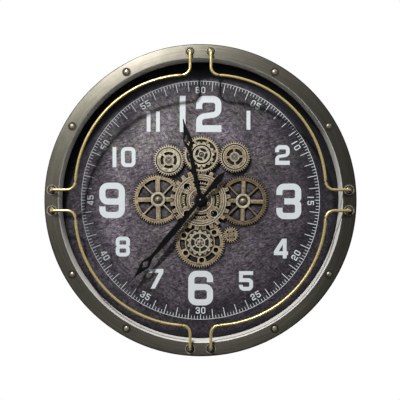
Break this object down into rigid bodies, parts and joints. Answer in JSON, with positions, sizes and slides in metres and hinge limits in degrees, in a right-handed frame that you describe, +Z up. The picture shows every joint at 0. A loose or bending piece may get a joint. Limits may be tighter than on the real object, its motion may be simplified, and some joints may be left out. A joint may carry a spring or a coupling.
{
  "type": "gear wall clock",
  "caption": "Round metal wall clock with a deep ring, an open train of meshing gears on a plate dial, two hands and bent guard rods.",
  "frame": {"origin": "the nail the clock hangs on, at the top of the hanger's keyhole, on the plane of the wall", "axes": "+Z up, +Y into the wall, the front faces -Y, +X to the right seen from the front"},
  "size_m": [0.6, 0.0867, 0.6],
  "materials": {
    "antique": "brushed antique bronze over steel",
    "dial": "scratched grey print on steel",
    "brass": "satin antique brass",
    "dark_brass": "dark antique brass",
    "wire": "satin brass",
    "black": "gloss black paint",
    "steel": "turned",
    "zinc": "zinc plated",
    "black_plastic": "moulded",
    "white_plastic": "moulded",
    "cell": "printed sleeve over steel"
  },
  "bodies": {
    "clock": {"bezel_ring": "antique", "dial_plate": "dial", "hanger_plate": "zinc", "ring_rivet_1": "brass", "ring_rivet_2": "brass", "ring_rivet_3": "brass", "ring_rivet_4": "brass", "ring_rivet_5": "brass", "ring_rivet_6": "brass", "ring_rivet_7": "brass", "ring_rivet_8": "brass", "wire_ferrule_1": "dark_brass", "wire_ferrule_2": "dark_brass", "wire_ferrule_3": "dark_brass", "wire_ferrule_4": "dark_brass", "wire_ferrule_5": "dark_brass", "wire_ferrule_6": "dark_brass", "wire_ferrule_7": "dark_brass", "wire_ferrule_8": "dark_brass", "guard_wire_upper_right": "wire", "guard_wire_upper_left": "wire", "guard_wire_lower_left": "wire", "guard_wire_lower_right": "wire", "left_stud": "steel", "right_stud": "steel", "lower_stud": "steel", "top_stud": "steel", "upper_left_stud": "steel", "upper_right_stud": "steel", "centre_bush": "steel", "bush_nut": "steel", "movement_case": "black_plastic", "drive_case": "black_plastic", "movement_battery": "cell", "drive_battery": "cell"},
    "centre_train": {"centre_face_gear": "brass", "centre_fine_gear": "dark_brass", "centre_hub_dish": "brass"},
    "left_wheel": {"left_gear": "dark_brass"},
    "right_wheel": {"right_gear": "dark_brass"},
    "lower_wheel": {"lower_gear": "dark_brass", "lower_pinion": "dark_brass"},
    "top_train": {"top_coarse_gear": "dark_brass", "top_fine_gear": "brass", "top_pinion": "brass"},
    "upper_left_wheel": {"upper_left_gear": "brass"},
    "upper_right_wheel": {"upper_right_gear": "brass"},
    "drive_wheel": {"drive_gear": "dark_brass", "drive_screw": "dark_brass"},
    "hour": {"hour_hand": "black", "hour_tube": "steel"},
    "minute": {"minute_hand": "black", "minute_arbor": "steel", "hand_nut": "steel", "set_knob": "black_plastic"},
    "switch": {"drive_switch": "white_plastic"}
  },
  "joints": [
    {"name": "centre_spin", "type": "hinge", "parent": "clock", "child": "centre_train", "pos_m": [0, -0.032, -0.279], "axis": [0, -1, 0], "continuous": true},
    {"name": "left_spin", "type": "hinge", "parent": "clock", "child": "left_wheel", "pos_m": [-0.0836, -0.032, -0.27739], "axis": [0, -1, 0], "continuous": true},
    {"name": "right_spin", "type": "hinge", "parent": "clock", "child": "right_wheel", "pos_m": [0.0836, -0.032, -0.28061], "axis": [0, -1, 0], "continuous": true},
    {"name": "lower_spin", "type": "hinge", "parent": "clock", "child": "lower_wheel", "pos_m": [-0.00117, -0.032, -0.36261], "axis": [0, -1, 0], "continuous": true},
    {"name": "top_spin", "type": "hinge", "parent": "clock", "child": "top_train", "pos_m": [0.00187, -0.032, -0.18951], "axis": [0, -1, 0], "continuous": true},
    {"name": "upper_left_spin", "type": "hinge", "parent": "clock", "child": "upper_left_wheel", "pos_m": [-0.06226, -0.032, -0.20082], "axis": [0, -1, 0], "continuous": true},
    {"name": "upper_right_spin", "type": "hinge", "parent": "clock", "child": "upper_right_wheel", "pos_m": [0.06682, -0.032, -0.19428], "axis": [0, -1, 0], "continuous": true},
    {"name": "drive_spin", "type": "hinge", "parent": "clock", "child": "drive_wheel", "pos_m": [0.05976, -0.032, -0.34697], "axis": [0, -1, 0], "continuous": true},
    {"name": "minute_turn", "type": "hinge", "parent": "clock", "child": "minute", "pos_m": [0, -0.032, -0.279], "axis": [0, 1, 0], "continuous": true},
    {"name": "hour_turn", "type": "hinge", "parent": "clock", "child": "hour", "pos_m": [0, -0.032, -0.279], "axis": [0, 1, 0], "continuous": true},
    {"name": "switch_slide", "type": "slide", "parent": "clock", "child": "switch", "axis": [1, 0, 0], "range_m": [0, 0.004]}
  ],
  "couplings": [
    {"joint": "left_spin", "follows": "centre_spin", "ratio": -0.73846},
    {"joint": "right_spin", "follows": "centre_spin", "ratio": -0.73846},
    {"joint": "lower_spin", "follows": "centre_spin", "ratio": -0.73846},
    {"joint": "top_spin", "follows": "centre_spin", "ratio": -1.6},
    {"joint": "upper_left_spin", "follows": "centre_spin", "ratio": 1.92},
    {"joint": "upper_right_spin", "follows": "centre_spin", "ratio": 1.92},
    {"joint": "drive_spin", "follows": "centre_spin", "ratio": 2.4},
    {"joint": "hour_turn", "follows": "minute_turn", "ratio": 0.083333}
  ]
}
